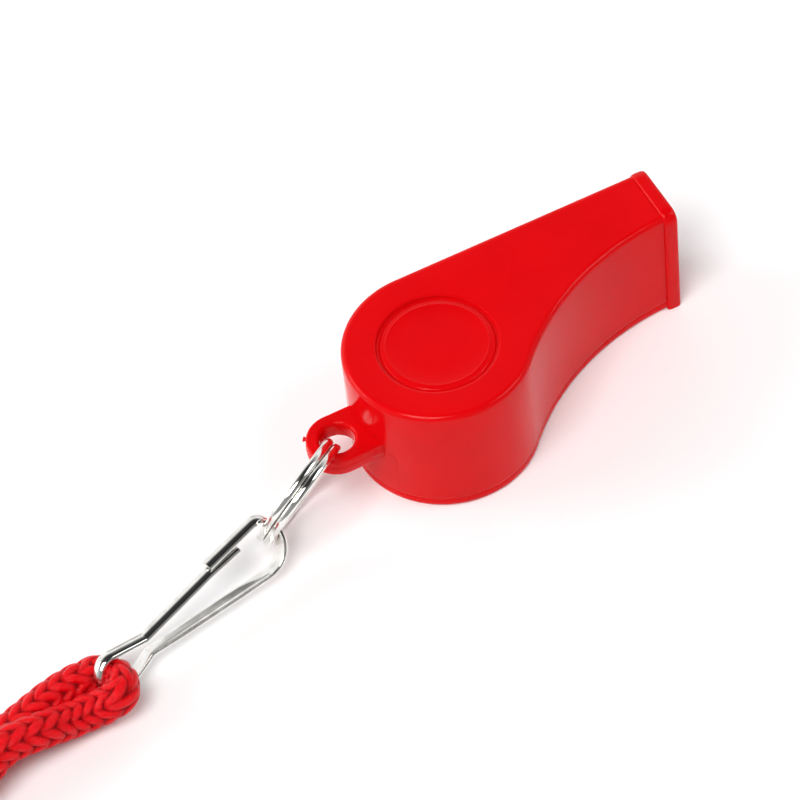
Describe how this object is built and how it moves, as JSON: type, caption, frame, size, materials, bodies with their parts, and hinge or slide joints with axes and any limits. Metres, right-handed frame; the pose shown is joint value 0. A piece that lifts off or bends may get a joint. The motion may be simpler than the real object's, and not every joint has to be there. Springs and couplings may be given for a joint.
{
  "type": "training whistle",
  "caption": "Plastic pea whistle with a welded side cheek, hung by a split ring and spring snap hook on a knitted neck cord.",
  "frame": {"origin": "on the round barrel's axis, at the outer face of the lower cheek that the whistle lies on", "axes": "+Z along the barrel's axis, up through both cheeks; +X from the barrel to the mouth end; +Y to the straight side with the sound window"},
  "size_m": [0.2103, 0.0382, 0.0172],
  "materials": {
    "red_plastic": "gloss moulded",
    "cork": "matt cork",
    "nickel": "nickel plated, polished",
    "cord": "knitted polyester",
    "ferrule": "nickel plated, pressed",
    "tie": "woven black"
  },
  "bodies": {
    "whistle": {"whistle_body": "red_plastic", "side_cover": "red_plastic"},
    "pea": {"pea": "cork"},
    "ring": {"split_ring": "nickel"},
    "hook": {"snap_hook": "nickel", "cord_bight": "cord"},
    "gate": {"gate_tongue": "nickel"},
    "lanyard": {"cord_runs": "cord", "cord_crimp": "ferrule", "cord_hank": "cord", "hank_tie": "tie"}
  },
  "joints": [
    {"name": "pea_whirl", "type": "hinge", "parent": "whistle", "child": "pea", "pos_m": [0, 0, 0.0061], "axis": [0, 0, 1], "continuous": true},
    {"name": "ring_swing", "type": "hinge", "parent": "whistle", "child": "ring", "pos_m": [-0.0147, -0.0014, 0.0084], "axis": [0, 0, 1], "range_deg": [-60, 30]},
    {"name": "hook_swing", "type": "hinge", "parent": "ring", "child": "hook", "pos_m": [-0.02769, -0.00759, 0.00539], "axis": [0, 0, 1], "range_deg": [-15, 15]},
    {"name": "gate_open", "type": "hinge", "parent": "hook", "child": "gate", "pos_m": [-0.04585, -0.01246, 0.00434], "axis": [-0.1961, 0.8398, -0.5063], "range_deg": [0, 10], "stiffness_Nm_per_rad": 0.05},
    {"name": "lanyard_swing", "type": "hinge", "parent": "hook", "child": "lanyard", "pos_m": [-0.0504, -0.0145, 0.00295], "axis": [0, 0, 1], "range_deg": [-12, 12]}
  ]
}
